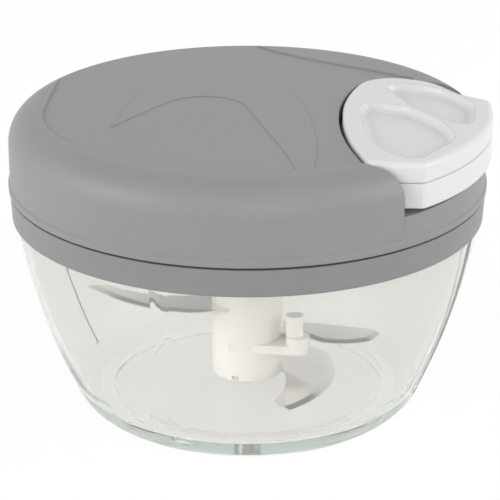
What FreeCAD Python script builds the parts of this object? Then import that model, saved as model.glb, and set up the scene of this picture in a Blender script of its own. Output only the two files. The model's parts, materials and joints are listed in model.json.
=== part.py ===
import FreeCAD, Part
import math
import os
import re

import Sketcher

# Pull-string food chopper. Millimetres, +Z up, origin on the axis at the bowl's foot,
# +X the way the handle is pulled out of the lid.

SIZES = {
    # bowl
    "bowl_radius": 63.7, "bowl_wall": 2.2, "bowl_rim": 59.0, "rim_step": 1.3, "rim_wall": 1.9,
    "belly_inset": 5.1, "belly_drop": 27.0, "foot_inset": 21.0, "foot_ring": 4.5, "foot_hollow": 1.0,
    "heel_via_out": 4.4, "heel_via_height": 3.2, "heel_out": 7.0, "heel_height": 8.0,
    "floor_height": 3.6, "step_in": 4.2, "step_height": 5.2,
    "boss_radius": 11.0, "boss_height": 6.5, "pin_radius": 3.0, "pin_foot": 1.6, "pin_end_gap": 1.0,
    "crease_count": 4, "crease_radius": 7.0, "crease_depth": 0.5, "crease_drop": 2.5, "crease_lift": -2.5,
    # blade column
    "hub_radius": 10.0, "hub_lift": 0.5, "hub_core": 5.0, "hub_bush_top": 20.0, "hex_flats": 11.0,
    "running_gap": 0.05, "drive_gap": 0.2, "hub_end_gap": 1.2, "shoulder_gap": 0.5,
    "blade_thickness": 0.9, "bevel_width": 1.8, "bevel_drop": 0.45, "lower_blade_height": 9.6,
    "middle_blade_lift": 1.5, "upper_blade_lift": 8.6,
    "arm_bottom": 16.0, "arm_thickness": 2.5, "arm_reach": 16.4,
    "arm_turn": -11.0, "arm_ledge": 0.5, "arm_end_radius": 3.3, "post_reach": 15.3,
    "post_radius": 2.4, "post_height": 11.2, "drain_notch": 2.0,
    # lid base
    "ring_cover": 3.4, "ring_height": 7.3, "ring_low_inset": 0.3, "ring_top_out": 0.1,
    "shoulder_drop": 0.4, "seam_gap": 0.7, "lid_gap": 0.3, "plug_depth": 3.4, "plug_play": 0.9,
    "plug_wall": 3.2, "seal_depth": 1.2, "seal_height": 2.0, "plate_thickness": 1.8,
    "locating_height": 4.4, "locating_wall": 1.6, "boss_wall": 3.0, "boss_drop": 3.2, "boss_rise": 1.0,
    # bush, seal and washer
    "journal_radius": 7.0, "bush_wall": 2.0, "bush_flange": 1.5, "bush_flange_height": 1.0,
    "shaft_seal_width": 1.3, "shaft_seal_height": 1.4, "soft_gap": 0.3, "washer_thickness": 0.5,
    "washer_width": 3.0,
    # reel and spring
    "journal_drop": 7.95, "drum_radius": 24.0, "drum_wall": 2.0, "flange_out": 5.0,
    "flange_thickness": 1.8, "groove_height": 11.8, "cap_ledge": 1.0, "cap_thickness": 1.3,
    "cap_hole": 5.5, "reel_pin_radius": 1.5, "reel_pin_sink": 3.5, "reel_pin_rise": 6.0,
    "spring_thickness": 0.5, "spring_height": 9.0, "spring_room": 0.8, "spring_half_turns": 17,
    "spring_inner_radius": 5.6, "spring_lift": 1.0,
    # fixed arbor
    "arbor_radius": 4.5, "arbor_flange": 11.0, "arbor_flange_thickness": 1.6, "arbor_gap": 0.5,
    "arbor_drop": 5.5, "arbor_slit": 0.9, "arbor_screw_reach": 8.0,
    # drive socket
    "socket_radius": 8.5, "socket_length": 10.1, "socket_web": 2.0,
    # cover
    "lid_overhang": 1.3, "lid_wall": 1.9, "cover_plate": 2.0, "top_round": 8.2, "bead_height": 1.6,
    "bead_out": 0.4, "reel_clearance": 0.45, "dock_wall": 1.6, "dock_depth": 6.5, "notch_gap": 1.0,
    "lip_room": 6.5, "lip_gap": 0.5, "ledge_fall": 1.4, "ledge_inset": 0.9, "ledge_rise": 2.9,
    "screw_inset": 13.0, "cover_boss_radius": 4.0,
    # shallow relief on the cover
    "relief_depth": 0.45, "relief_margin": 10.0, "arch_rise": 0.2,
    # handle
    "handle_proud": 1.3, "handle_rise": 1.0, "handle_cap": 5.5, "handle_rest_gap": 0.4,
    "lip_drop": 4.7, "handle_skin": 1.4, "handle_round": 1.6, "dish_depth": 2.3,
    "dish_round": 2.0, "dish_skin": 1.1, "handle_boss_radius": 1.9, "seam_width": 0.3,
    "seam_depth": 0.2,
    # cord
    "cord_radius": 0.9, "cord_clearance": 0.3, "cord_pitch": 2.8, "cord_first_turn": 1.8,
    "cord_quarter_turns": 11, "cord_exit_rise": 2.0, "cord_bend": 5.4,
    "guide_bore": 1.4, "guide_round": 1.5, "guide_half_length": 1.3, "guide_radius": 2.5,
    "anchor_thickness": 2.5, "anchor_reach": 4.2, "anchor_height": 2.8, "slot_play": 0.25,
    "knot_radius": 1.35,
    "cord_box_gap": 1.7, "cord_box_half_width": 3.4, "cord_box_wall": 1.2,
    "stop_radius": 1.5, "stop_length": 3.0,
    # fasteners
    "lid_screw_radius": 1.3, "lid_screw_head": 2.8, "lid_screw_head_height": 2.0,
    "lid_screw_length": 11.0, "small_screw_radius": 0.9, "small_screw_head": 1.6,
    "small_screw_head_height": 1.0, "small_screw_length": 4.2, "screw_play": 0.3,
}

# Heights and radii that follow from the sheet, as expressions of its names.
FOLLOWS = {
    "belly_radius": "bowl_radius - belly_inset", "belly_height": "bowl_rim - belly_drop",
    "foot_radius": "bowl_radius - foot_inset", "heel_radius": "foot_radius + heel_out",
    "heel_via_radius": "foot_radius + heel_via_out", "step_radius": "foot_radius - step_in",
    "rim_radius": "bowl_radius - rim_step", "rim_inside": "rim_radius - rim_wall",
    "ring_bottom": "bowl_rim - ring_cover", "shoulder_height": "ring_bottom - shoulder_drop",
    "crease_top": "bowl_rim - crease_drop", "crease_bottom": "heel_height + crease_lift",
    "pin_top": "hub_bush_top - pin_end_gap", "hub_bottom": "boss_height + hub_lift",
    "arm_top": "arm_bottom + arm_thickness", "middle_blade_height": "arm_top + middle_blade_lift",
    "upper_blade_height": "middle_blade_height + upper_blade_lift", "post_top": "arm_bottom + post_height",
    "plate_top": "bowl_rim + lid_gap - soft_gap", "plate_bottom": "plate_top - plate_thickness",
    "boss_bottom": "plate_bottom - boss_drop", "bush_radius": "journal_radius + running_gap + bush_wall",
    "bush_top": "plate_top + boss_rise", "reel_bottom": "bush_top + washer_thickness + running_gap",
    "groove_bottom": "reel_bottom + flange_thickness", "groove_top": "groove_bottom + groove_height",
    "reel_top": "groove_top + flange_thickness", "cap_seat": "reel_top - cap_thickness",
    "seat_radius": "drum_radius + cap_ledge", "flange_radius": "drum_radius + flange_out",
    "spring_pitch": "2 * (drum_radius - drum_wall - spring_room - spring_inner_radius) / spring_half_turns",
    "journal_end": "reel_bottom - journal_drop", "socket_bottom": "journal_end - socket_length",
    "hub_shoulder": "socket_bottom - shoulder_gap",
    "hub_top": "journal_end - socket_web - small_screw_head_height - hub_end_gap",
    "bore_top": "groove_bottom + reel_pin_rise + arbor_gap",
    "lid_radius": "bowl_radius + lid_overhang", "ring_low_radius": "lid_radius - ring_low_inset",
    "ring_top_radius": "lid_radius + ring_top_out", "ring_top": "ring_bottom + ring_height",
    "cover_bottom": "ring_top + seam_gap", "dock_floor": "reel_top + reel_clearance + dock_wall",
    "lid_top": "dock_floor + dock_depth", "roof": "lid_top - cover_plate",
    "inner_skirt": "lid_radius - lid_wall", "arbor_top": "lid_top - arbor_drop",
    "recess_radius": "lid_radius - lip_room", "guide_reach": "recess_radius - dock_wall / 2",
    "relief_radius": "lid_radius - relief_margin", "relief_floor": "lid_top - relief_depth",
    "screw_circle": "lid_radius - screw_inset",
    "screw_seat": "plate_bottom + lid_screw_head_height + screw_play",
    "screw_boss_top": "plate_top + 3 * boss_rise",
    "handle_radius": "lid_radius + handle_proud", "handle_top_height": "lid_top + handle_rise",
    "handle_seam": "handle_top_height - handle_cap", "handle_bottom": "dock_floor + handle_rest_gap",
    "lip_bottom": "dock_floor - lip_drop", "ledge_inner": "lip_bottom - lip_gap",
    "ledge_outer": "ledge_inner - ledge_fall", "ledge_radius": "lid_radius - ledge_inset",
    "ledge_foot": "cover_bottom + ledge_rise",
    "cord_exit_height": "lip_bottom + cord_exit_rise", "cord_box_start": "recess_radius + cord_box_gap",
    "wind_radius": "drum_radius + cord_radius + cord_clearance",
    "cord_start": "groove_bottom + cord_first_turn",
    # turn, in degrees, at which the cord leaves the drum for the guide
    "exit_turn": "asin(wind_radius / guide_reach) / (1 deg) - 90",
}

doc = FreeCAD.newDocument("food_chopper")
sheet = doc.addObject("Spreadsheet::Sheet", "Size")
for row, (alias, number) in enumerate(SIZES.items(), 1):
    sheet.set(f"A{row}", alias)
    sheet.set(f"B{row}", str(number))
    sheet.setAlias(f"B{row}", alias)
doc.recompute()

UP = FreeCAD.Vector(0, 0, 1)
pieces = []


def bound(expression):
    """The expression with what follows spelled out, and each name pointed at its cell in the sheet."""
    def cell(found):
        name = found.group()
        return f"({bound(FOLLOWS[name])})" if name in FOLLOWS else f"Size.{name}"

    return re.sub(r"\b(?!deg\b)[a-z][a-z_]*\b(?!\()", cell, str(expression))


def amount(expression):
    """The expression's value now."""
    result = sheet.evalExpression(bound(expression))
    return float(getattr(result, "Value", result))


def bind(thing, **sizes):
    """Tie properties of an object to expressions of the sheet."""
    for name, expression in sizes.items():
        thing.setExpression(name.replace("__", "."), bound(expression))
    return thing


def make(kind, name, **sizes):
    return bind(doc.addObject(kind, name), **sizes)


def keep(thing, label):
    """Name the object as a finished piece."""
    thing.Label = label
    pieces.append(thing)
    return thing


def is_clockwise(start, via, end):
    return (via - start).cross(end - via).z < 0


def draw(sketch, corners):
    """Close an outline: (across, up) goes straight on, and with a point to go through, it is an arc.

    A fifth entry makes the arc a spline, for long gentle bends whose centre lies past the axis.
    """
    points = [FreeCAD.Vector(amount(corner[0]), amount(corner[1]), 0) for corner in corners]
    ends = []
    for index, corner in enumerate(corners):
        start, end = points[index], points[(index + 1) % len(points)]
        if len(corner) == 2:
            sketch.addGeometry(Part.LineSegment(start, end))
            ends.append((1, 2))
            continue
        via = FreeCAD.Vector(amount(corner[2]), amount(corner[3]), 0)
        arc = Part.Arc(start, via, end)
        if len(corner) == 4:
            sketch.addGeometry(arc)
            ends.append((2, 1) if is_clockwise(start, via, end) else (1, 2))
        else:
            sketch.addGeometry(arc.toBSpline())
            ends.append((1, 2))
    for index, (first, last) in enumerate(ends):
        following = (index + 1) % len(ends)
        sketch.addConstraint(Sketcher.Constraint("Coincident", index, last, following, ends[following][0]))
    for index, corner in enumerate(corners):
        for kind, axis, expression in (("DistanceX", -2, corner[0]), ("DistanceY", -1, corner[1])):
            if expression == "0":
                sketch.addConstraint(Sketcher.Constraint("PointOnObject", index, ends[index][0], axis))
                continue
            place = Sketcher.Constraint(kind, -1, 1, index, ends[index][0], amount(expression))
            number = sketch.addConstraint(place)
            sketch.setExpression(f"Constraints[{number}]", bound(expression))


def sketch_in(body, name, role, corners):
    sketch = body.newObject("Sketcher::SketchObject", name)
    plane = next(item for item in body.Origin.OriginFeatures if item.Role == role)
    sketch.AttachmentSupport = [(plane, "")]
    sketch.MapMode = "FlatFace"
    draw(sketch, corners)
    return sketch


def turned(name, corners):
    """A body turned about the Z axis from a profile of radius and height."""
    body = doc.addObject("PartDesign::Body", name)
    sketch = sketch_in(body, name + "_profile", "XZ_Plane", corners)
    turn = body.newObject("PartDesign::Revolution", name + "_turn")
    turn.Profile = (sketch, [""])
    turn.ReferenceAxis = (sketch, ["V_Axis"])
    turn.Angle = 360
    sketch.Visibility = False
    return body


def tube(name, inner, outer, bottom, top):
    return turned(name, [(inner, bottom), (outer, bottom), (outer, top), (inner, top)])


def padded(name, corners, bottom, height):
    """A body with a straight outline in plan, raised from one height."""
    body = doc.addObject("PartDesign::Body", name)
    sketch = sketch_in(body, name + "_outline", "XY_Plane", corners)
    pad = body.newObject("PartDesign::Pad", name + "_pad")
    pad.Profile = (sketch, [""])
    bind(pad, Length=height)
    bind(body, **{"Placement__Base__z": bottom})
    return body


def rounded_outline(name, corners):
    """A free sketch whose corners (x, y, radius) are joined by tangent arcs."""
    sketch = doc.addObject("Sketcher::SketchObject", name)
    points = [FreeCAD.Vector(amount(x), amount(y), 0) for x, y, _ in corners]
    edges = []
    spans = []
    for index, point in enumerate(points):
        back = (points[index - 1] - point).normalize()
        ahead = (points[(index + 1) % len(points)] - point).normalize()
        half = back.getAngle(ahead) / 2
        radius = amount(corners[index][2])
        reach = radius / math.tan(half)
        middle = point + (back + ahead).normalize() * (radius / math.sin(half) - radius)
        spans.append((point + back * reach, middle, point + ahead * reach))
    for index, (start, middle, end) in enumerate(spans):
        edges.append(Part.Arc(start, middle, end))
        edges.append(Part.LineSegment(end, spans[(index + 1) % len(spans)][0]))
    for index, edge in enumerate(edges):
        sketch.addGeometry(edge)
    for index in range(0, len(edges), 2):
        start, middle, end = spans[index // 2]
        first, last = (2, 1) if is_clockwise(start, middle, end) else (1, 2)
        sketch.addConstraint(Sketcher.Constraint("Coincident", index, last, index + 1, 1))
        sketch.addConstraint(Sketcher.Constraint("Coincident", index - 1 if index else len(edges) - 1, 2,
                                                 index, first))
    return sketch


def grown(name, outline, distance):
    """A flat outline moved outward, or inward where the distance is negative."""
    offset = doc.addObject("Part::Offset2D", name)
    offset.Source = outline
    return bind(offset, Value=distance)


def raised(name, outline, bottom, height):
    """A solid raised from a flat outline between two heights."""
    solid = doc.addObject("Part::Extrusion", name)
    solid.Base = outline
    solid.DirMode = "Custom"
    solid.Dir = UP
    solid.Solid = True
    bind(solid, LengthFwd=height, **{"Placement__Base__z": bottom})
    return solid


def cut(name, base, *tools):
    result = doc.addObject("Part::Cut", name)
    result.Base = base
    result.Tool = tools[0] if len(tools) == 1 else join(name + "_tools", *tools)
    return result


def join(name, *shapes):
    result = doc.addObject("Part::MultiFuse", name)
    result.Shapes = list(shapes)
    return result


def overlap(name, *shapes):
    result = doc.addObject("Part::MultiCommon", name)
    result.Shapes = list(shapes)
    return result


def cylinder(name, radius, bottom, top, x="0", y="0"):
    place = {"Placement__Base__x": x, "Placement__Base__y": y, "Placement__Base__z": bottom}
    return make("Part::Cylinder", name, Radius=radius, Height=f"({top}) - ({bottom})", **place)


def box(name, x, y, z):
    """A box between two values on each axis."""
    place = {"Placement__Base__x": x[0], "Placement__Base__y": y[0], "Placement__Base__z": z[0]}
    spans = {"Length": x, "Width": y, "Height": z}
    sizes = {key: f"({high}) - ({low})" for key, (low, high) in spans.items()}
    return make("Part::Box", name, **sizes, **place)


def screws(label, places, head_radius, head_height, shank_radius, length, seat):
    """Identical screws, head down, as separate solids of one piece."""
    solids = []
    for number, (x, y) in enumerate(places):
        head = cylinder(f"{label}_head{number}", head_radius, f"{seat} - {head_height}", seat, x, y)
        shank = cylinder(f"{label}_shank{number}", shank_radius, seat, f"{seat} + {length}", x, y)
        solids.append(join(f"{label}_screw{number}", head, shank))
    group = doc.addObject("Part::Compound", label)
    group.Links = solids
    return keep(group, label)


def ring_places(reach, turns):
    """Expressions of the places on a circle, at the given turns in degrees."""
    return [(f"{reach} * cos({turn})", f"{reach} * sin({turn})") for turn in turns]


LID_SCREWS = ring_places("screw_circle", (75, 140, 220, 285))
ARBOR_SCREWS = ring_places("arbor_screw_reach", (60, 180, 300))
HANDLE_SCREWS = [("lid_radius - 37.8", "19.5"), ("handle_radius - 2.7", "-2"), ("lid_radius - 14.2", "-30.4")]


def make_bowl():
    """Clear bowl: turned wall and floor, with four upright creases."""
    wall = "bowl_wall"
    shell = turned("bowl_shell", [
        ("0", "foot_hollow"), ("foot_radius - foot_ring", "foot_hollow"),
        ("foot_radius - foot_ring", "0"), ("foot_radius", "0", "heel_via_radius", "heel_via_height"),
        ("heel_radius", "heel_height", "belly_radius", "belly_height", "spline"),
        ("bowl_radius", "shoulder_height"), ("rim_radius", "shoulder_height"), ("rim_radius", "bowl_rim"),
        ("rim_inside", "bowl_rim"),
        ("rim_inside", "shoulder_height", f"belly_radius - {wall}", "belly_height", "spline"),
        (f"heel_radius - {wall}", "heel_height + bowl_wall / 2", f"heel_radius - 1.9 * {wall}",
         "step_height + bowl_wall / 3"),
        ("foot_radius", "step_height"), ("step_radius", "step_height"),
        ("step_radius", "floor_height"), ("boss_radius", "boss_height"), ("0", "boss_height")])
    arc = Part.Arc(FreeCAD.Vector(amount("heel_radius"), 0, amount("heel_height")),
                   FreeCAD.Vector(amount("belly_radius"), 0, amount("belly_height")),
                   FreeCAD.Vector(amount("bowl_radius"), 0, amount("shoulder_height")))
    centre, sweep = arc.toShape().Curve.Center, arc.toShape().Curve.Radius
    low = math.degrees(math.asin((amount("crease_bottom") - centre.z) / sweep))
    high = math.degrees(math.asin((amount("crease_top") - centre.z) / sweep))

    count = int(amount("crease_count"))

    def groove(number):
        bend = make("Part::Torus", f"groove{number}", Radius2="crease_radius")
        bend.Radius1 = sweep + amount("crease_radius - crease_depth")
        bend.Angle3 = high - low
        lie = FreeCAD.Placement(centre, FreeCAD.Rotation(FreeCAD.Vector(1, 0, 0), 90))
        start = FreeCAD.Placement(FreeCAD.Vector(), FreeCAD.Rotation(UP, low))
        turn = FreeCAD.Placement(FreeCAD.Vector(), FreeCAD.Rotation(UP, 360.0 / count * number))
        bend.Placement = turn * lie * start
        return bend

    socket = cylinder("pin_socket", "pin_radius", "pin_foot", "boss_height + 1")
    grooves = [groove(number) for number in range(count)]
    keep(cut("bowl", shell, join("bowl_grooves", socket, *grooves)), "bowl")
    keep(tube("bowl_pin", "0", "pin_radius", "pin_foot", "pin_top"), "bowl_pin")


BLADES = {
    # height, first and last corner of the ground edge, and the outline
    "blade_lower": ("lower_blade_height", 0, 2, [
        ("3.5", "7.5", "9.7", "14.3"), ("19.5", "11.9", "27.7", "-7.7"), ("22.8", "-28.3"), ("19.5", "-27.3"),
        ("17.3", "-25.0", "17.0", "-16.5"), ("11.2", "-3.0"), ("5.6", "1.0")]),
    "blade_middle": ("middle_blade_height", 1, 4, [
        ("5.4", "-2.6", "9.0", "-1.2"), ("13.5", "0.2"), ("22.5", "-3.8", "31.0", "-2.2"),
        ("35.8", "1.6"), ("36.9", "7.2"), ("34.0", "8.4", "20.0", "7.6"), ("4.6", "4.6")]),
    "blade_upper": ("upper_blade_height", 1, 3, [
        ("2.0", "-5.7", "-4.0", "-12.0"), ("-11.1", "-15.8", "-25.0", "-16.2"),
        ("-38.9", "-11.1"), ("-45.9", "-7.5"), ("-40.0", "-5.5", "-20.0", "-6.5"),
        ("-5.4", "2.6")]),
}


def ground(name, height, first, last, outline):
    """A flat blade whose upper edge is ground away from one corner of its outline to another."""
    blade = padded(f"{name}_blank", outline, height, "blade_thickness")
    doc.recompute()
    top = amount(f"{height} + blade_thickness")
    ends = [FreeCAD.Vector(amount(x), amount(y), top) for x, y, *_ in outline[first:last + 1]]
    chosen = [number for number, edge in enumerate(blade.Shape.Edges, 1)
              if all(any(vertex.Point.isEqual(end, 0.01) for end in ends) for vertex in edge.Vertexes)]
    bevel = doc.addObject("Part::Chamfer", name)
    bevel.Base = blade
    bevel.Edges = [(number, amount("bevel_drop"), amount("bevel_width")) for number in chosen]
    return bevel


def make_blades():
    """Three flat steel blades and the moulded column that they are held in."""
    blades = [ground(name, *values) for name, values in BLADES.items()]
    for blade in blades:
        keep(blade, blade.Name)
    column = turned("hub_column", [
        ("hub_core", "hub_bottom"), ("hub_radius", "hub_bottom"), ("hub_radius", "hub_shoulder"),
        ("0", "hub_shoulder"), ("0", "hub_bush_top"), ("hub_core", "hub_bush_top")])
    across = "(hex_flats / sqrt(3))"
    head = make("Part::Prism", "hub_hex", Circumradius=across, Height="hub_top - hub_shoulder",
                **{"Placement__Base__z": "hub_shoulder"})
    head.Polygon = 6
    arm = padded("hub_arm_plate", [
        ("0", "-hub_radius - arm_ledge"), ("arm_reach", "-arm_end_radius"), ("arm_reach", "arm_end_radius"),
        ("0", "hub_radius - 0.2")], "arm_bottom", "arm_thickness")
    end = cylinder("hub_arm_end", "arm_end_radius", "arm_bottom", "arm_bottom + 2 * arm_thickness",
                   "arm_reach")
    core = cylinder("hub_arm_clear", "hub_core", "arm_bottom - 1", "arm_bottom + arm_thickness + 1")
    post = cylinder("hub_post", "post_radius", "arm_bottom", "post_top", "post_reach")
    carrier = cut("hub_arm", join("hub_arm_whole", arm, end, post), core)
    bind(carrier, **{"Placement__Rotation__Angle": "arm_turn"})
    notch = box("hub_drain", ("-drain_notch / 2", "drain_notch / 2"),
                ("-hub_radius - 1", "-hub_core"), ("hub_bottom - 1", "hub_bottom + drain_notch * 0.7"))
    keep(cut("blade_hub", join("hub_solid", column, head, carrier),
             join("hub_slots", notch, *blades)), "blade_hub")
    keep(tube("hub_bush", "pin_radius + running_gap", "hub_core", "boss_height + running_gap",
              "hub_bush_top"), "hub_bush")


def make_lid_base():
    """Lower ring, sealing plug and plate of the lid, in one moulding."""
    plug = "(rim_inside - plug_play)"
    plug_bottom = "(bowl_rim + lid_gap - plug_depth - soft_gap)"
    seal_bottom = f"({plug_bottom} + 0.8)"
    rim_top = "(bowl_rim + lid_gap)"
    wall_out = "(lid_radius - lid_wall - 0.2)"
    wall_in = f"({wall_out} - locating_wall)"
    ring_inner = "(rim_radius + lid_gap)"
    body = turned("lid_base_body", [
        ("bush_radius", "boss_bottom"), ("bush_radius + boss_wall", "boss_bottom"),
        ("bush_radius + boss_wall", "plate_bottom"), (f"{plug} - plug_wall", "plate_bottom"),
        (f"{plug} - plug_wall", plug_bottom), (plug, plug_bottom), (plug, seal_bottom),
        (f"{plug} - seal_depth", seal_bottom), (f"{plug} - seal_depth", f"{seal_bottom} + seal_height"),
        (plug, f"{seal_bottom} + seal_height"), (plug, rim_top), (ring_inner, rim_top),
        (ring_inner, "ring_bottom"), ("ring_low_radius", "ring_bottom"),
        ("ring_top_radius", "ring_top"), (wall_out, "ring_top"), (wall_out, "ring_top + locating_height"),
        (wall_in, "ring_top + locating_height"), (wall_in, "ring_top - plate_thickness"),
        (f"{wall_in} - plug_wall", "plate_top"), ("bush_radius + boss_wall", "plate_top"),
        ("bush_radius + boss_wall", "bush_top"), ("bush_radius", "bush_top")])
    bosses = [cylinder(f"base_boss{n}", "cover_boss_radius + boss_rise", "plate_bottom",
                       "screw_boss_top", x, y)
              for n, (x, y) in enumerate(LID_SCREWS)]
    bores = [cylinder(f"base_bore{n}", "lid_screw_radius + screw_play", "plate_bottom - 1",
                      "screw_boss_top + 1", x, y) for n, (x, y) in enumerate(LID_SCREWS)]
    sinks = [cylinder(f"base_sink{n}", "lid_screw_head + screw_play", "plate_bottom - 1", "screw_seat", x, y)
             for n, (x, y) in enumerate(LID_SCREWS)]
    keep(cut("lid_base", join("lid_base_solid", body, *bosses), *bores, *sinks), "lid_base")
    keep(tube("seal_ring", f"{plug} - seal_depth", "rim_inside - soft_gap", seal_bottom,
              f"{seal_bottom} + seal_height"), "seal_ring")
    keep(turned("base_bush", [
        ("journal_radius + running_gap", "boss_bottom - bush_flange_height"),
        ("bush_radius + bush_flange", "boss_bottom - bush_flange_height"),
        ("bush_radius + bush_flange", "boss_bottom"), ("bush_radius", "boss_bottom"),
        ("bush_radius", "bush_top"), ("journal_radius + soft_gap + shaft_seal_width", "bush_top"),
        ("journal_radius + soft_gap + shaft_seal_width", "bush_top - shaft_seal_height"),
        ("journal_radius + running_gap", "bush_top - shaft_seal_height")]), "base_bush")
    keep(tube("shaft_seal", "journal_radius + soft_gap", "journal_radius + soft_gap + shaft_seal_width",
              "bush_top - shaft_seal_height", "bush_top"), "shaft_seal")
    keep(tube("thrust_washer", "journal_radius + 2 * running_gap", "journal_radius + washer_width",
              "bush_top", "bush_top + washer_thickness"), "thrust_washer")
    screws("lid_screws", LID_SCREWS, "lid_screw_head", "lid_screw_head_height", "lid_screw_radius",
           "lid_screw_length", "screw_seat")


def make_reel():
    """Drum with its flanges, journal and cord anchor, its cap, pin and drive socket."""
    drum = turned("reel_drum", [
        ("0", "journal_end"), ("journal_radius", "journal_end"), ("journal_radius", "reel_bottom"),
        ("flange_radius", "reel_bottom"), ("flange_radius", "groove_bottom"),
        ("drum_radius", "groove_bottom"),
        ("drum_radius", "groove_top"), ("flange_radius", "groove_top"), ("flange_radius", "reel_top"),
        ("seat_radius", "reel_top"), ("seat_radius", "cap_seat"), ("drum_radius - drum_wall", "cap_seat"),
        ("drum_radius - drum_wall", "groove_bottom"), ("0", "groove_bottom")])
    straight = "(2 * cord_radius)"
    anchor = box("cord_anchor", ("drum_radius - 0.5", "drum_radius + anchor_reach"),
                 (f"-{straight} - anchor_thickness", f"-{straight}"),
                 ("groove_bottom - 0.5", "groove_bottom + anchor_height"))
    slot_half = "(cord_radius + slot_play)"
    slot = box("cord_slot", (f"wind_radius - {slot_half}", f"wind_radius + {slot_half}"),
               (f"-{straight} - anchor_thickness - 1", f"-{straight} + 1"),
               (f"cord_start - {slot_half}", "cord_start + 2 * cord_pitch"))
    lug = cut("cord_lug", anchor, slot)
    bind(lug, Placement__Rotation__Angle="exit_turn - 90 * cord_quarter_turns")
    sink = cylinder("reel_pin_hole", "reel_pin_radius", "groove_bottom - reel_pin_sink",
                    "groove_bottom + 1")
    bore = cylinder("socket_screw_hole", "lid_screw_radius", "journal_end - 1",
                    "reel_bottom - 2 * running_gap - 2")
    keep(cut("reel", join("reel_solid", drum, lug), sink, bore), "reel")
    keep(tube("reel_cap", "cap_hole", "seat_radius - running_gap", "cap_seat", "reel_top"), "reel_cap")
    keep(tube("reel_pin", "0", "reel_pin_radius", "groove_bottom - reel_pin_sink",
              "groove_bottom + reel_pin_rise"), "reel_pin")
    shell = cylinder("socket_shell", "socket_radius", "socket_bottom", "journal_end")
    hexagon = make("Part::Prism", "socket_hex", Circumradius="(hex_flats + 2 * drive_gap) / sqrt(3)",
                   Height="journal_end - socket_web - socket_bottom + 1",
                   Placement__Base__z="socket_bottom - 1")
    hexagon.Polygon = 6
    way = cylinder("socket_screw_way", "lid_screw_radius", "socket_bottom", "journal_end + 1")
    keep(cut("drive_socket", shell, hexagon, way), "drive_socket")
    web = "(journal_end - socket_web)"
    head = cylinder("socket_screw_cap", "lid_screw_head", f"{web} - small_screw_head_height", web)
    shank = cylinder("socket_screw_shank", "lid_screw_radius", web, "journal_end + socket_web * 2")
    keep(join("socket_screw", head, shank), "socket_screw")


def make_arbor():
    """Fixed post under the cover, slit to hold the spring's inner end."""
    flange_bottom = "(arbor_top - arbor_flange_thickness)"
    post_end = "(groove_bottom + arbor_gap)"
    post = turned("arbor_post", [
        ("reel_pin_radius + running_gap", post_end), ("arbor_radius", post_end),
        ("arbor_radius", flange_bottom), ("arbor_flange", flange_bottom), ("arbor_flange", "arbor_top"),
        ("0", "arbor_top"), ("0", "bore_top"), ("reel_pin_radius + running_gap", "bore_top")])
    slit = box("arbor_slot", ("reel_pin_radius + 0.6", "arbor_radius + 1"),
               ("-arbor_slit / 2", "arbor_slit / 2"),
               (f"{post_end} - 1", "groove_bottom + spring_lift + spring_height + arbor_gap"))
    bores = [cylinder(f"arbor_bore{n}", "small_screw_radius", f"{flange_bottom} - 1", "arbor_top + 1", x, y)
             for n, (x, y) in enumerate(ARBOR_SCREWS)]
    keep(cut("spring_arbor", post, slit, *bores), "spring_arbor")
    screws("arbor_screws", ARBOR_SCREWS, "small_screw_head", "small_screw_head_height",
           "small_screw_radius", "small_screw_length", flange_bottom)


def make_spring():
    """Flat spiral spring of half turns, its inner tail in the arbor's slit."""
    half = amount("spring_thickness / 2")
    step = amount("spring_pitch / 2")
    first = amount("spring_inner_radius")

    def side(offset):
        """Half circles about two centres by turns, each one step larger."""
        arcs = []
        for turn in range(int(amount("spring_half_turns"))):
            way = -1 if turn % 2 else 1
            centre = FreeCAD.Vector(0 if way == 1 else step, 0, 0)
            radius = first + step * turn + offset
            arcs.append(Part.Arc(centre + FreeCAD.Vector(way * radius, 0, 0),
                                 centre + FreeCAD.Vector(0, way * radius, 0),
                                 centre - FreeCAD.Vector(way * radius, 0, 0)).toShape())
        return arcs

    outer, inner = side(half), side(-half)
    tail = amount("reel_pin_radius + 1.0")
    start_out, start_in = outer[0].Vertexes[0].Point, inner[0].Vertexes[0].Point
    end_out, end_in = outer[-1].Vertexes[-1].Point, inner[-1].Vertexes[-1].Point
    # the tail runs inward from the first half circle, along the slit
    foot = [start_out, FreeCAD.Vector(start_out.x, -half, 0), FreeCAD.Vector(tail, -half, 0),
            FreeCAD.Vector(tail, half, 0), FreeCAD.Vector(start_in.x, half, 0)]
    meet = inner[0].Curve
    level = math.asin(half / meet.Radius)
    first_inner = Part.Arc(meet.value(level), meet.value((level + math.pi) / 2),
                           meet.value(math.pi)).toShape()
    foot[-1] = meet.value(level)
    edges = [Part.LineSegment(a, b).toShape() for a, b in zip(foot, foot[1:])]
    edges += [first_inner] + inner[1:] + [Part.LineSegment(end_in, end_out).toShape()] + outer
    strip = Part.Face(Part.Wire(Part.__sortEdges__(edges)))
    spring = doc.addObject("Part::Feature", "power_spring")
    spring.Shape = strip.extrude(UP * amount("spring_height"))
    bind(spring, Placement__Base__z="groove_bottom + spring_lift")
    keep(spring, "power_spring")


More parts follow.
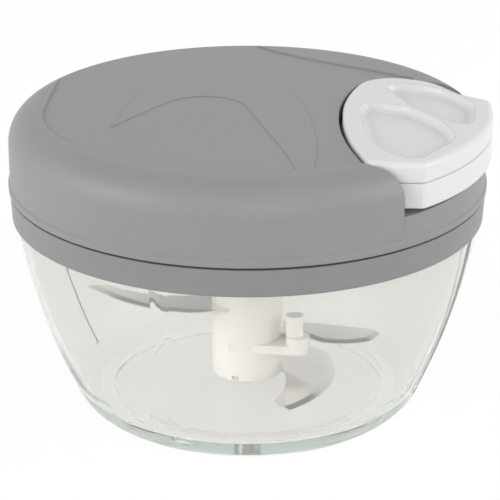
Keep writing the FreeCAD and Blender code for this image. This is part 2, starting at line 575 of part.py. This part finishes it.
def make_handle():
    """Two-part pull handle: a top with two finger dishes over a base with a gripping lip."""
    edge = "lid_radius"
    back_turn, front_turn = 20.5, -25.3
    middle, half = (back_turn + front_turn) / 2, (back_turn - front_turn) / 2
    tip = f"handle_radius / cos({half})"
    outline = rounded_outline("handle_outline", [
        (f"{tip} * cos({middle})", f"{tip} * sin({middle})", "handle_radius"),
        (f"handle_radius * cos({back_turn}) - 3.2 * sin({back_turn})",
         f"handle_radius * sin({back_turn}) + 3.2 * cos({back_turn})", "3"),
        (f"{edge} - 13.2", "28.9", "6"), (f"{edge} - 23.5", "36.9", "14"), (f"{edge} - 33.5", "37.6", "12"),
        (f"{edge} - 42.4", "33.2", "10"), (f"{edge} - 42.7", "15.2", "70"),
        (f"{edge} - 34.0", "-12.2", "105"),
        (f"{edge} - 20.1", "-33.1", "4"), (f"{edge} - 14.0", "-33.0", "12"),
        (f"handle_radius * cos({front_turn}) + 1.9 * sin({front_turn})",
         f"handle_radius * sin({front_turn}) - 1.9 * cos({front_turn})", "2")])
    front_dish = rounded_outline("front_dish", [
        (f"{edge} - 35.7", "7.0", "3.6"), (f"{edge} - 35.1", "12.9", "2.3"),
        (f"{edge} - 23.3", "12.4", "7.0"), (f"{edge} - 11.7", "4.2", "20.8"),
        (f"{edge} - 3.1", "-7.1", "14.3"), (f"{edge} - 8.3", "-28.5", "3.6"),
        (f"{edge} - 19.4", "-25.5", "18"), (f"{edge} - 27.9", "-11.0", "41.3")])
    back_dish = rounded_outline("back_dish", [
        (f"{edge} - 34.4", "27.0", "3.1"), (f"{edge} - 33.4", "32.0", "4.1"),
        (f"{edge} - 19.2", "31.8", "19.9"), (f"{edge} - 7.2", "22.0", "6.2"),
        (f"{edge} - 2.4", "2.5", "3.0"), (f"{edge} - 9.1", "3.8", "9.4"),
        (f"{edge} - 22.3", "12.8", "41.6")])
    dishes = (front_dish, back_dish)
    skin = "handle_skin"
    inset = grown("handle_inset", outline, f"-{skin}")
    block = raised("handle_upper", outline, "handle_seam", "handle_top_height - handle_seam")
    doc.recompute()
    rounded = round_edges("handle_rounded", block, "handle_round",
                          lambda edge_box: edge_box.ZMin > amount("handle_top_height") - 0.01)
    floor = "(handle_top_height - dish_depth)"
    hollows = []
    for number, dish in enumerate(dishes):
        hollow = raised(f"dish{number}", dish, floor, "dish_depth + 1")
        doc.recompute()
        hollows.append(round_edges(f"dish_round{number}", hollow, "dish_round",
                                   lambda edge_box: edge_box.ZMax < amount(floor) + 0.01))
    inside = raised("handle_hollow", inset, "handle_seam - 1",
                    f"handle_top_height - handle_seam + 1 - {skin}")
    solids = [raised(f"dish_bed{number}", grown(f"dish_outline{number}", dish, "dish_skin"),
                     f"{floor} - dish_skin", "2 * dish_depth") for number, dish in enumerate(dishes)]
    bosses = [cylinder(f"handle_boss{n}", "handle_boss_radius", "handle_seam - 2", "handle_top_height", x, y)
              for n, (x, y) in enumerate(HANDLE_SCREWS)]
    pilots = [cylinder(f"handle_pilot{n}", "small_screw_radius", "handle_seam - 1",
                       "handle_bottom + small_screw_head_height + small_screw_length", x, y)
              for n, (x, y) in enumerate(HANDLE_SCREWS)]
    void = cut("handle_void_left", inside, *solids, *bosses)
    groove = cut("seam_groove", raised("groove_out", grown("groove_outer", outline, "seam_depth"),
                                       "handle_seam - seam_width / 2", "seam_width"),
                 raised("groove_in", grown("groove_inner", outline, "-seam_depth"),
                        "handle_seam - seam_width", "2 * seam_width"))
    keep(cut("handle_top", rounded, void, groove, *hollows, *pilots), "handle_top")

    plate = raised("base_plate", outline, "handle_bottom", "handle_seam - handle_bottom")
    wall = cut("lip_wall", raised("lip_outline", outline, "lip_bottom", "handle_seam - lip_bottom"),
               raised("lip_void", inset, "lip_bottom - 1", "handle_seam - lip_bottom + 2"))
    reach = cylinder("lip_reach", "recess_radius + 2 * handle_rest_gap", "lip_bottom - 1", "handle_seam + 1")
    lip = cut("lip", wall, reach)
    end = "(handle_radius - handle_skin)"
    housing = box("cord_box", ("cord_box_start", f"{end} + {skin} / 2"),
                  ("-cord_box_half_width", "cord_box_half_width"),
                  ("lip_bottom + handle_rest_gap", "handle_seam"))
    room = box("cord_box_room", ("cord_box_start + cord_box_wall", end),
               ("-stop_radius - cord_clearance", "stop_radius + cord_clearance"),
               ("lip_bottom - 1", "handle_bottom"))
    gate = box("cord_box_gate", ("cord_box_start - 1", "cord_box_start + cord_box_wall + 0.1"),
               ("-cord_radius - cord_clearance", "cord_radius + cord_clearance"),
               ("lip_bottom - 1", "cord_exit_height + cord_radius + cord_clearance"))
    sink_top = "(handle_bottom + small_screw_head_height)"
    sinks = [cylinder(f"handle_sink{n}", "small_screw_head + screw_play", "handle_bottom - 1", sink_top, x, y)
             for n, (x, y) in enumerate(HANDLE_SCREWS)]
    ways = [cylinder(f"handle_way{n}", "small_screw_radius", "lip_bottom - 1", "handle_seam + 1", x, y)
            for n, (x, y) in enumerate(HANDLE_SCREWS)]
    whole = join("handle_base_solid", plate, lip, housing)
    keep(cut("handle_base", whole, groove, room, gate, *sinks, *ways), "handle_base")
    screws("handle_screws", HANDLE_SCREWS, "small_screw_head", "small_screw_head_height",
           "small_screw_radius", "small_screw_length", sink_top)
    stop = cylinder("cord_stop", "stop_radius", "0", "stop_length", "cord_box_start + cord_box_wall")
    stop.Placement.Rotation = FreeCAD.Rotation(FreeCAD.Vector(0, 1, 0), 90)
    stop.setExpression("Placement.Base.z", bound("cord_exit_height"))
    keep(stop, "cord_stop")
    return outline


def round_edges(name, base, radius, wanted):
    """Round the edges of a solid whose bounds pass a test."""
    fillet = doc.addObject("Part::Fillet", name)
    fillet.Base = base
    size = amount(radius)
    fillet.Edges = [(number, size, size) for number, edge in enumerate(base.Shape.Edges, 1)
                    if wanted(edge.BoundBox)]
    return fillet


def make_cover(handle_outline):
    """Upper cover: a shell with the dock that the handle rests in."""
    bead = "(lid_radius + bead_out)"
    inner_round = "(top_round - lid_wall)"
    slope = "(1 - sqrt(0.5))"
    solid = turned("cover_solid", [
        ("0", "cover_bottom"), (bead, "cover_bottom"), (bead, "cover_bottom + bead_height"),
        ("lid_radius", "cover_bottom + bead_height + bead_out"),
        ("lid_radius", "lid_top - top_round", f"lid_radius - top_round * {slope}",
         f"lid_top - top_round * {slope}"), ("lid_radius - top_round", "lid_top"), ("0", "lid_top")])
    cavity = turned("cover_cavity", [
        ("0", "cover_bottom - 1"), ("inner_skirt", "cover_bottom - 1"),
        ("inner_skirt", f"roof - {inner_round}", f"inner_skirt - {inner_round} * {slope}",
         f"roof - {inner_round} * {slope}"), (f"inner_skirt - {inner_round}", "roof"), ("0", "roof")])

    def dock(name, grow, floor):
        """The room cut for the handle, and for its lip and the cord behind it."""
        outline = grown(name + "_outline", handle_outline, f"notch_gap + {grow}")
        nest = raised(name + "_nest", outline, floor, "lid_top")
        front, back = f"-34.3 - {grow}", f"38.6 + {grow}"
        aisle = padded(name + "_aisle", [
            ("lid_radius - 19.5", front), ("2 * lid_radius", front), ("2 * lid_radius", back),
            ("lid_radius - 28", back)], floor, "lid_top")
        scoop = turned(name + "_scoop", [
            (f"recess_radius - {grow}", f"ledge_inner - {grow}"), ("ledge_radius", f"ledge_outer - {grow}"),
            ("lid_radius", f"ledge_foot - {grow}"), ("lid_radius + 9", "ledge_foot - 9"),
            ("lid_radius + 9", "2 * lid_top"), (f"recess_radius - {grow}", "2 * lid_top")])
        reach = box(name + "_reach", ("lid_radius / 2", "2 * lid_radius"), (front, back),
                    ("lid_top / 2", "2 * lid_top"))
        return join(name, nest, aisle, overlap(name + "_lip_room", scoop, reach))

    room = dock("dock_room", "0", "dock_floor")
    walls = dock("dock_walls", "dock_wall", "dock_floor - dock_wall")
    boss_tops = [cylinder(f"cover_boss{n}", "cover_boss_radius", "screw_boss_top", "lid_top", x, y)
                 for n, (x, y) in enumerate(LID_SCREWS)]
    pad = cylinder("arbor_pad", "arbor_flange + 1", "arbor_top", "lid_top")
    void = cut("cover_void", cavity, walls, pad, *boss_tops)
    pilots = [cylinder(f"cover_pilot{n}", "lid_screw_radius", "screw_boss_top - 1",
                       "screw_seat + lid_screw_length + screw_play", x, y)
              for n, (x, y) in enumerate(LID_SCREWS)]
    tiny = [cylinder(f"cover_tiny{n}", "small_screw_radius", "arbor_top - 1",
                     "arbor_top - arbor_flange_thickness + small_screw_length + screw_play", x, y)
            for n, (x, y) in enumerate(ARBOR_SCREWS)]
    middle = "(recess_radius - dock_wall / 2)"
    hole = cylinder("guide_hole", "guide_radius", "0", "4 * dock_wall", f"{middle} - 2 * dock_wall")
    hole.Placement.Rotation = FreeCAD.Rotation(FreeCAD.Vector(0, 1, 0), 90)
    hole.setExpression("Placement.Base.z", bound("cord_exit_height"))
    hollowed = cut("cover_hollowed", solid, void, relief(), hole, *pilots, *tiny)
    keep(cut("lid_cover", join("cover_styled", hollowed, arch_band()), room), "lid_cover")

    flare = "(guide_bore + guide_round - sqrt(guide_round ^ 2 - guide_half_length ^ 2))"
    guide = turned("cord_guide", [
        (flare, "-guide_half_length"), ("guide_radius", "-guide_half_length"),
        ("guide_radius", "guide_half_length"), (flare, "guide_half_length", "guide_bore", "0")])
    guide.Placement.Rotation = FreeCAD.Rotation(FreeCAD.Vector(0, 1, 0), 90)
    bind(guide, Placement__Base__x=middle, Placement__Base__z="cord_exit_height")
    keep(guide, "cord_guide")


def relief():
    """Shallow sunken field on top of the cover, which runs out over the rounded edge at the back left."""
    def around(turn, out):
        return f"(relief_radius + {out}) * cos({turn})", f"(relief_radius + {out}) * sin({turn})"

    return padded("relief_field", [
        (*around(160.7, 12.1), *around(179.2, 2.6)), (*around(201.8, 0.1), *around(225.1, 0.6)),
        (*around(248.6, -1.0), *around(280.0, -3.0)), (*around(311.8, -2.0), *around(319.2, -1.1)),
        ("lid_radius - 18.8", "-30.9"), ("lid_radius - 35", "0"), ("lid_radius - 30", "40.9", "21.3", "44.2"),
        ("7.5", "47.1", "-3.2", "49.8"), ("-13.7", "53.5", "-23.5", "61.7"), ("-27", "lid_radius + 9"),
        ("-lid_radius - 20", "lid_radius + 9"), ("-lid_radius - 20", "22.2")], "relief_floor", "lid_top")


def arch_band():
    """Low arch that rises in the sunken field, between two curves."""
    bottom = "relief_floor - 3 * arch_rise"
    outer = padded("arch_outer", [
        ("-22.1", "-54", "-27.5", "-29.8"), ("-31.9", "-5.4", "-31.2", "5.0"),
        ("-26.2", "14.2", "-7.2", "22.1"),
        ("10.6", "11.5", "20.4", "-6.0"), ("28.3", "-24.5", "32.6", "-38.5"), ("35.7", "-54")],
        bottom, "lid_top / 2")
    inner = padded("arch_inner", [
        ("-28.2", "-34.1", "-25.7", "-18.4"), ("-21.9", "-3.0", "-12.3", "5.6"),
        ("-0.4", "0.6", "8.2", "-11.7"),
        ("16.9", "-23.8", "26.4", "-38.1"), ("34.8", "-53"), ("40", "-60"), ("-40", "-60")],
        f"{bottom} - arch_rise", "lid_top")
    edge = cylinder("arch_reach", "relief_radius", "relief_floor - 2 * arch_rise", "relief_floor + arch_rise")
    return overlap("arch_band", cut("arch_raised", outer, inner), edge)


def biarc(start, ahead, end, onward):
    """Two arcs from a point and direction to another, tangent where they meet."""
    span = end - start
    both = ahead + onward
    lean = span.dot(both)
    spread = 2 * (1 - ahead.dot(onward))
    reach = (math.sqrt(lean * lean + spread * span.dot(span)) - lean) / spread
    middle = (start + end + (ahead - onward) * reach) / 2
    return [tangent_arc(start, ahead, middle), tangent_arc(end, onward * -1, middle)]


def tangent_arc(start, ahead, end):
    """The arc from a point in a direction to another point."""
    span = end - start
    side = (span - ahead * span.dot(ahead))
    side.normalize()
    radius = span.dot(span) / (2 * span.dot(side))
    centre = start + side * radius
    out = (start + end) / 2 - centre
    out.normalize()
    return Part.Arc(start, centre + out * radius, end)


def make_cord():
    """Pull cord: a knot, the turns on the drum, a straight lead and the bend in the guide."""
    wind = amount("wind_radius")
    pitch = amount("cord_pitch")
    quarters = int(amount("cord_quarter_turns"))
    exit_turn = math.radians(amount("exit_turn"))
    low = amount("cord_start")
    radius = amount("cord_radius")
    guide = FreeCAD.Vector(amount("recess_radius - dock_wall / 2"), 0, amount("cord_exit_height"))

    def on_drum(quarter):
        turn = exit_turn + (quarter - quarters) * math.pi / 2
        return FreeCAD.Vector(wind * math.cos(turn), wind * math.sin(turn), low + pitch * quarter / 4)

    def along_drum(quarter):
        turn = exit_turn + (quarter - quarters) * math.pi / 2
        rise = pitch / (2 * math.pi)
        return FreeCAD.Vector(-wind * math.sin(turn), wind * math.cos(turn), rise).normalize()

    leave = on_drum(quarters)
    lead = (guide - leave).normalize()
    ahead = FreeCAD.Vector(1, 0, 0)
    half_bend = lead.getAngle(ahead) / 2
    reach = amount("cord_bend") * math.tan(half_bend)
    enter, clear = guide - lead * reach, guide + ahead * reach
    curves = []
    for quarter in range(quarters):
        onward = lead if quarter == quarters - 1 else along_drum(quarter + 1)
        curves += biarc(on_drum(quarter), along_drum(quarter), on_drum(quarter + 1), onward)
    curves += [Part.LineSegment(leave, enter), tangent_arc(enter, lead, clear),
               Part.LineSegment(clear, FreeCAD.Vector(amount("cord_box_start + cord_box_wall"), 0, guide.z))]
    first = along_drum(0)
    tail_end = on_drum(0) - first * (2 * radius + amount("anchor_thickness + knot_radius"))
    curves.insert(0, Part.LineSegment(tail_end, on_drum(0)))
    path = Part.Wire([curve.toShape() for curve in curves])
    ring = Part.Wire(Part.Circle(tail_end, first, radius).toShape())
    pipe = path.makePipeShell([ring], True, False)
    knot = Part.makeSphere(amount("knot_radius"), tail_end - first * amount("slot_play"))
    cord = doc.addObject("Part::Feature", "pull_cord")
    cord.Shape = pipe.fuse(knot)
    keep(cord, "pull_cord")
    print("cord tube volume", round(pipe.Volume, 1), "section times length",
          round(math.pi * radius ** 2 * path.Length, 1), "length", round(path.Length, 1))
    bends = [edge.Curve.Radius for edge in path.Edges if hasattr(edge.Curve, "Radius")]
    print("cord radii", sorted({round(bend, 1) for bend in bends}))
    print("least gap between turns", round(least_gap(path, radius), 3))


def least_gap(path, radius):
    """Smallest distance between the cord's surface and itself, away from its own run."""
    points = path.discretize(Distance=1.0)
    skip = int(math.pi * 4 * radius)
    nearest = min((points[i] - points[j]).Length for i in range(len(points))
                  for j in range(i + skip, len(points)))
    return nearest - 2 * radius


def check_and_write():
    """Stop on any failed object, then write one file for each piece."""
    failed = [thing.Name for thing in doc.Objects if "Invalid" in thing.State or "Error" in thing.State]
    if failed:
        raise RuntimeError(f"objects that failed: {failed}")
    os.makedirs("parts", exist_ok=True)
    for piece in pieces:
        if piece.Shape.isNull() or not piece.Shape.isValid():
            raise RuntimeError(f"{piece.Label} has no valid shape")
        piece.Shape.exportStep(f"parts/{piece.Label}.step")
        print(piece.Label, "solids", len(piece.Shape.Solids), "volume", round(piece.Shape.Volume, 1))


make_bowl()
make_blades()
make_lid_base()
make_reel()
make_arbor()
make_spring()
make_cover(make_handle())
make_cord()
doc.recompute()
check_and_write()
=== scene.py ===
import bpy
import json
import math
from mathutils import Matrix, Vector


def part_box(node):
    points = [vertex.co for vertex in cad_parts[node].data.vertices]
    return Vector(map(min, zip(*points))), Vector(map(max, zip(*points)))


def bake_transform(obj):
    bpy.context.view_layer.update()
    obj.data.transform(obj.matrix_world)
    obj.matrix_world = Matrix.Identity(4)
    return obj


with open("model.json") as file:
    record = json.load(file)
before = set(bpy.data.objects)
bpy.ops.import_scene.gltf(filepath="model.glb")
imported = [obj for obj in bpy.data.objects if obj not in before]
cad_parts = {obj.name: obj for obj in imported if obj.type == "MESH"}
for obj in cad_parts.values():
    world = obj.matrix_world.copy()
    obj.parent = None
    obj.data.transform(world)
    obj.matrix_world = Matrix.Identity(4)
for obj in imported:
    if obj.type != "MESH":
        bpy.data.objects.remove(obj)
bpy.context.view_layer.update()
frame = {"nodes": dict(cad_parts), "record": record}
nodes = frame["nodes"]

# Lengths are in metres, except for the lens and its sensor in millimetres. Angles are in radians.

# The photograph's camera in the object's frame. The shift is a share of the sensor's width.
CAMERA_DISTANCE = 0.5607
CAMERA_HEIGHT = 0.2664
CAMERA_PITCH = 0.38
CAMERA_TURN = math.radians(20.8)
CAMERA_LENS = 156.0
SENSOR = 36.0
CENTRE_SHIFT = 0.0048

# A little thinner than the CAD cord, so that it lies inside it while the handle is at rest.
PULLED_CORD_RADIUS = 0.0008
PULLED_CORD_SIDES = 24

# How every finish varies: how finely its noise is detailed, and where the colour reaches its two ends.
COLOUR_DETAIL = 4.0
COLOUR_ENDS = (0.3, 0.7)
GRAIN_DETAIL = 6.0
BUMP_STRENGTH = 1.0
EDGE_SAMPLES = 8
PLASTIC_COLOUR_SCALE = 35.0

# Clear plastic. The tint and its density are those of the volume inside the wall.
CLEAR_COLOUR = (0.885, 0.88, 0.86)
CLEAR_SPREAD = 0.01
CLEAR_COLOUR_SCALE = 20.0
CLEAR_GRAIN_SCALE = 60.0
CLEAR_GRAIN_HEIGHT = 0.000003
CLEAR_ROUGH = (0.015, 0.035)
CLEAR_TRANSMISSION = 0.9
CLEAR_IOR = 1.16
CLEAR_SHADOW = (0.99, 0.985, 0.97, 1)
CLEAR_TINT = (0.25, 0.5, 0.35, 1)
CLEAR_DENSITY = 7.0

# Brushed metal, with its grain drawn out along one axis.
METAL_SPREAD = 0.05
METAL_COLOUR_SCALE = 60.0
METAL_STRETCH = (1.0, 40.0, 1.0)
METAL_GRAIN_SCALE = 120.0
METAL_GRAIN_DETAIL = 5.0
METAL_GRAIN_HEIGHT = 0.00001

# The studio: how bright the world lights the object and how bright it is seen, and the floor under it.
WHITE = (1, 1, 1, 1)
WORLD_LIGHT = 0.5
WORLD_SEEN = 1.0
FLOOR_SIZE = 6.0
FLOOR_COLOUR = (0.9, 0.9, 0.9, 1)
FLOOR_ROUGH = 0.9
FLOOR_GLOW = 1.05
FLOOR_GLOW_SHARE = 0.85

# Each lamp's name, place, width and power in watts, and the point that all of them face.
LAMPS = [
    ("key", (-0.93, -0.96, 0.5), 0.9, 9.0),
    ("fill", (1.185, 0.19, 0.6), 0.9, 7.0),
    ("front", (0.65, -1.14, 0.4), 1.2, 4.0),
]
LAMP_TARGET = (0, 0, 0.05)


def make_camera():
    data = bpy.data.cameras.new("camera")
    data.sensor_width = SENSOR
    data.lens = CAMERA_LENS
    data.shift_x = CENTRE_SHIFT
    camera = bpy.data.objects.new("camera", data)
    bpy.context.scene.collection.objects.link(camera)
    camera.location = (CAMERA_DISTANCE * math.sin(CAMERA_TURN), -CAMERA_DISTANCE * math.cos(CAMERA_TURN),
                       CAMERA_HEIGHT)
    camera.rotation_euler = (math.pi / 2 - CAMERA_PITCH, 0, CAMERA_TURN)
    bpy.context.scene.camera = camera


def new_material(name):
    material = bpy.data.materials.new(name)
    material.use_nodes = True
    tree = material.node_tree
    shader = tree.nodes["Principled BSDF"]
    return material, tree, shader


def node(tree, kind, **values):
    """A new node, with each value set on the input of that name, or else on the node itself."""
    made = tree.nodes.new(kind)
    for key, value in values.items():
        if key in made.inputs:
            made.inputs[key].default_value = value
        else:
            setattr(made, key, value)
    return made


def mixed(tree, share, first, second):
    """The first shader where the share is 0 and the second where it is 1."""
    mix = node(tree, "ShaderNodeMixShader")
    tree.links.new(share, mix.inputs["Fac"])
    tree.links.new(first, mix.inputs[1])
    tree.links.new(second, mix.inputs[2])
    return mix.outputs[0]


def is_seen(tree):
    """1 for the rays that show a surface directly, in a reflection or through glass, and 0 for its light."""
    path = node(tree, "ShaderNodeLightPath")
    seen = path.outputs["Is Camera Ray"]
    for kind in ("Is Glossy Ray", "Is Transmission Ray"):
        either = node(tree, "ShaderNodeMath", operation="MAXIMUM")
        tree.links.new(seen, either.inputs[0])
        tree.links.new(path.outputs[kind], either.inputs[1])
        seen = either.outputs[0]
    return seen


def varied(tree, shader, colour, spread, scale):
    """Colour that drifts a little over the surface, as moulded plastic does."""
    place = node(tree, "ShaderNodeTexCoord")
    noise = node(tree, "ShaderNodeTexNoise", Scale=scale, Detail=COLOUR_DETAIL)
    ramp = node(tree, "ShaderNodeValToRGB")
    low = [max(0.0, part * (1 - spread)) for part in colour]
    high = [min(1.0, part * (1 + spread)) for part in colour]
    for end, tone, position in zip(ramp.color_ramp.elements, (low, high), COLOUR_ENDS):
        end.color = (*tone, 1)
        end.position = position
    tree.links.new(place.outputs["Object"], noise.inputs["Vector"])
    tree.links.new(noise.outputs["Fac"], ramp.inputs["Fac"])
    tree.links.new(ramp.outputs["Color"], shader.inputs["Base Color"])
    return place.outputs["Object"]


def grained(tree, shader, place, scale, height, rough, detail=GRAIN_DETAIL):
    """Fine grain as a small bump, with the roughness following it between its two values."""
    grain = node(tree, "ShaderNodeTexNoise", Scale=scale, Detail=detail)
    bump = node(tree, "ShaderNodeBump", Strength=BUMP_STRENGTH, Distance=height)
    roughness = node(tree, "ShaderNodeMapRange")
    roughness.inputs["To Min"].default_value, roughness.inputs["To Max"].default_value = rough
    tree.links.new(place, grain.inputs["Vector"])
    tree.links.new(grain.outputs["Fac"], bump.inputs["Height"])
    tree.links.new(grain.outputs["Fac"], roughness.inputs["Value"])
    tree.links.new(roughness.outputs["Result"], shader.inputs["Roughness"])
    tree.links.new(bump.outputs["Normal"], shader.inputs["Normal"])
    return bump


def plastic(name, colour, spread=0.03, grain=900.0, height=0.00002, rough=(0.38, 0.5), edge=0.0,
            specular=0.5):
    """Moulded plastic. With an edge radius, its sharp edges are shaded as if they were rounded that far."""
    material, tree, shader = new_material(name)
    shader.inputs["Specular IOR Level"].default_value = specular
    place = varied(tree, shader, colour, spread, PLASTIC_COLOUR_SCALE)
    bump = grained(tree, shader, place, grain, height, rough)
    if edge:
        rounded = node(tree, "ShaderNodeBevel", samples=EDGE_SAMPLES, Radius=edge)
        tree.links.new(rounded.outputs["Normal"], bump.inputs["Normal"])
    return material


def clear_plastic():
    """Clear moulded plastic: bends light, lets the lamps in, and is greener where it is seen edgeways."""
    material, tree, shader = new_material("clear_plastic")
    shader.inputs["Transmission Weight"].default_value = CLEAR_TRANSMISSION
    shader.inputs["IOR"].default_value = CLEAR_IOR
    place = varied(tree, shader, CLEAR_COLOUR, CLEAR_SPREAD, CLEAR_COLOUR_SCALE)
    grained(tree, shader, place, CLEAR_GRAIN_SCALE, CLEAR_GRAIN_HEIGHT, CLEAR_ROUGH)
    output = tree.nodes["Material Output"]
    path = node(tree, "ShaderNodeLightPath")
    through = node(tree, "ShaderNodeBsdfTransparent", Color=CLEAR_SHADOW)
    surface = mixed(tree, path.outputs["Is Shadow Ray"], shader.outputs[0], through.outputs[0])
    tree.links.new(surface, output.inputs["Surface"])
    tint = node(tree, "ShaderNodeVolumeAbsorption", Color=CLEAR_TINT, Density=CLEAR_DENSITY)
    tree.links.new(tint.outputs[0], output.inputs["Volume"])
    return material


def metal(name, colour, rough=(0.24, 0.4)):
    """Brushed metal."""
    material, tree, shader = new_material(name)
    shader.inputs["Metallic"].default_value = 1.0
    place = varied(tree, shader, colour, METAL_SPREAD, METAL_COLOUR_SCALE)
    stretch = node(tree, "ShaderNodeMapping", Scale=METAL_STRETCH)
    tree.links.new(place, stretch.inputs["Vector"])
    grained(tree, shader, stretch.outputs["Vector"], METAL_GRAIN_SCALE, METAL_GRAIN_HEIGHT, rough,
            METAL_GRAIN_DETAIL)
    return material


def make_finishes():
    return {
        "clear_plastic": clear_plastic(),
        "grey_plastic": plastic("grey_plastic", (0.285, 0.285, 0.285), edge=0.0003, specular=0.4),
        # The cover's grey made darker for the lid's lower ring: painted shade for the shade under the cover's
        # overhang.
        "grey_painted_shade": plastic("grey_painted_shade", (0.262, 0.262, 0.262), edge=0.0006, specular=0.35),
        "handle_plastic": plastic("handle_plastic", (0.77, 0.77, 0.775), spread=0.01, grain=500.0,
                                  height=0.000004, rough=(0.22, 0.3), edge=0.0007),
        "white_plastic": plastic("white_plastic", (0.85, 0.83, 0.81), spread=0.02, grain=600.0,
                                 height=0.00001, rough=(0.4, 0.5)),
        "blade_steel": metal("blade_steel", (0.86, 0.85, 0.84), rough=(0.2, 0.3)),
        "steel": metal("steel", (0.6, 0.6, 0.61)),
        "spring_steel": metal("spring_steel", (0.3, 0.32, 0.38)),
        "brass": metal("brass", (0.72, 0.55, 0.27)),
        "silicone": plastic("silicone", (0.7, 0.7, 0.69), spread=0.02, grain=400.0,
                            height=0.00001, rough=(0.5, 0.6)),
        "cord": plastic("cord", (0.8, 0.79, 0.76), spread=0.06, grain=1500.0,
                        height=0.0001, rough=(0.7, 0.9)),
    }


def dress_cad_nodes(made):
    """Put on each CAD piece the finish that its record asks for. The lid's lower ring is a little darker, as
    painted shade for the shade under the cover.
    """
    slots = {part["node"]: part["material_slot"] for part in frame["record"]["subparts"]}
    # Painted shade: the lower ring takes the darker grey in place of the shade that falls under the cover.
    slots["lid_base"] = "grey_painted_shade"
    for name, thing in nodes.items():
        thing.data.materials.clear()
        thing.data.materials.append(made[slots[name]])


def make_pulled_cord(finish):
    """The cord from the guide to the bead at its end, as a straight cylinder between them at the handle's
    rest place.
    """
    guide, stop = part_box("cord_guide"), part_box("cord_stop")
    start, end = guide[1][0], stop[0][0]
    height = (guide[0][2] + guide[1][2]) / 2
    bpy.ops.mesh.primitive_cylinder_add(radius=PULLED_CORD_RADIUS, depth=end - start,
                                        vertices=PULLED_CORD_SIDES,
                                        location=((start + end) / 2, 0, height), rotation=(0, math.pi / 2, 0))
    cord = bpy.context.object
    cord.name = "pulled_cord"
    cord.data.materials.append(finish)
    bpy.ops.object.shade_smooth()
    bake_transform(cord)


def make_world():
    """Even light from all round, which is seen as plain white."""
    world = bpy.data.worlds.new("studio")
    bpy.context.scene.world = world
    world.use_nodes = True
    tree = world.node_tree
    light = tree.nodes["Background"]
    light.inputs["Color"].default_value = WHITE
    light.inputs["Strength"].default_value = WORLD_LIGHT
    seen = node(tree, "ShaderNodeBackground", Color=WHITE, Strength=WORLD_SEEN)
    tree.links.new(mixed(tree, is_seen(tree), light.outputs[0], seen.outputs[0]),
                   tree.nodes["World Output"].inputs["Surface"])


def make_floor():
    """Pale floor, which is seen as nearly white and keeps a faint shadow."""
    bpy.ops.mesh.primitive_plane_add(size=FLOOR_SIZE, location=(0, 0, 0))
    floor = bpy.context.object
    floor.name = "floor"
    material, tree, shader = new_material("floor")
    shader.inputs["Base Color"].default_value = FLOOR_COLOUR
    shader.inputs["Roughness"].default_value = FLOOR_ROUGH
    shader.inputs["Specular IOR Level"].default_value = 0.0
    glow = node(tree, "ShaderNodeEmission", Color=WHITE, Strength=FLOOR_GLOW)
    share = node(tree, "ShaderNodeMath", operation="MULTIPLY")
    share.inputs[1].default_value = FLOOR_GLOW_SHARE
    tree.links.new(is_seen(tree), share.inputs[0])
    tree.links.new(mixed(tree, share.outputs[0], shader.outputs[0], glow.outputs[0]),
                   tree.nodes["Material Output"].inputs["Surface"])
    floor.data.materials.append(material)


def make_lamps():
    """A soft key from the left, a fill from the right and a weak one from the front."""
    for name, place, size, power in LAMPS:
        data = bpy.data.lights.new(name, "AREA")
        data.size = size
        data.energy = power
        lamp = bpy.data.objects.new(name, data)
        bpy.context.scene.collection.objects.link(lamp)
        lamp.location = place
        lamp.rotation_euler = (Vector(LAMP_TARGET) - Vector(place)).to_track_quat("-Z", "Y").to_euler()


make_camera()
finishes = make_finishes()
dress_cad_nodes(finishes)
make_pulled_cord(finishes["cord"])
make_world()
make_floor()
make_lamps()
bpy.context.scene.view_settings.view_transform = "Standard"
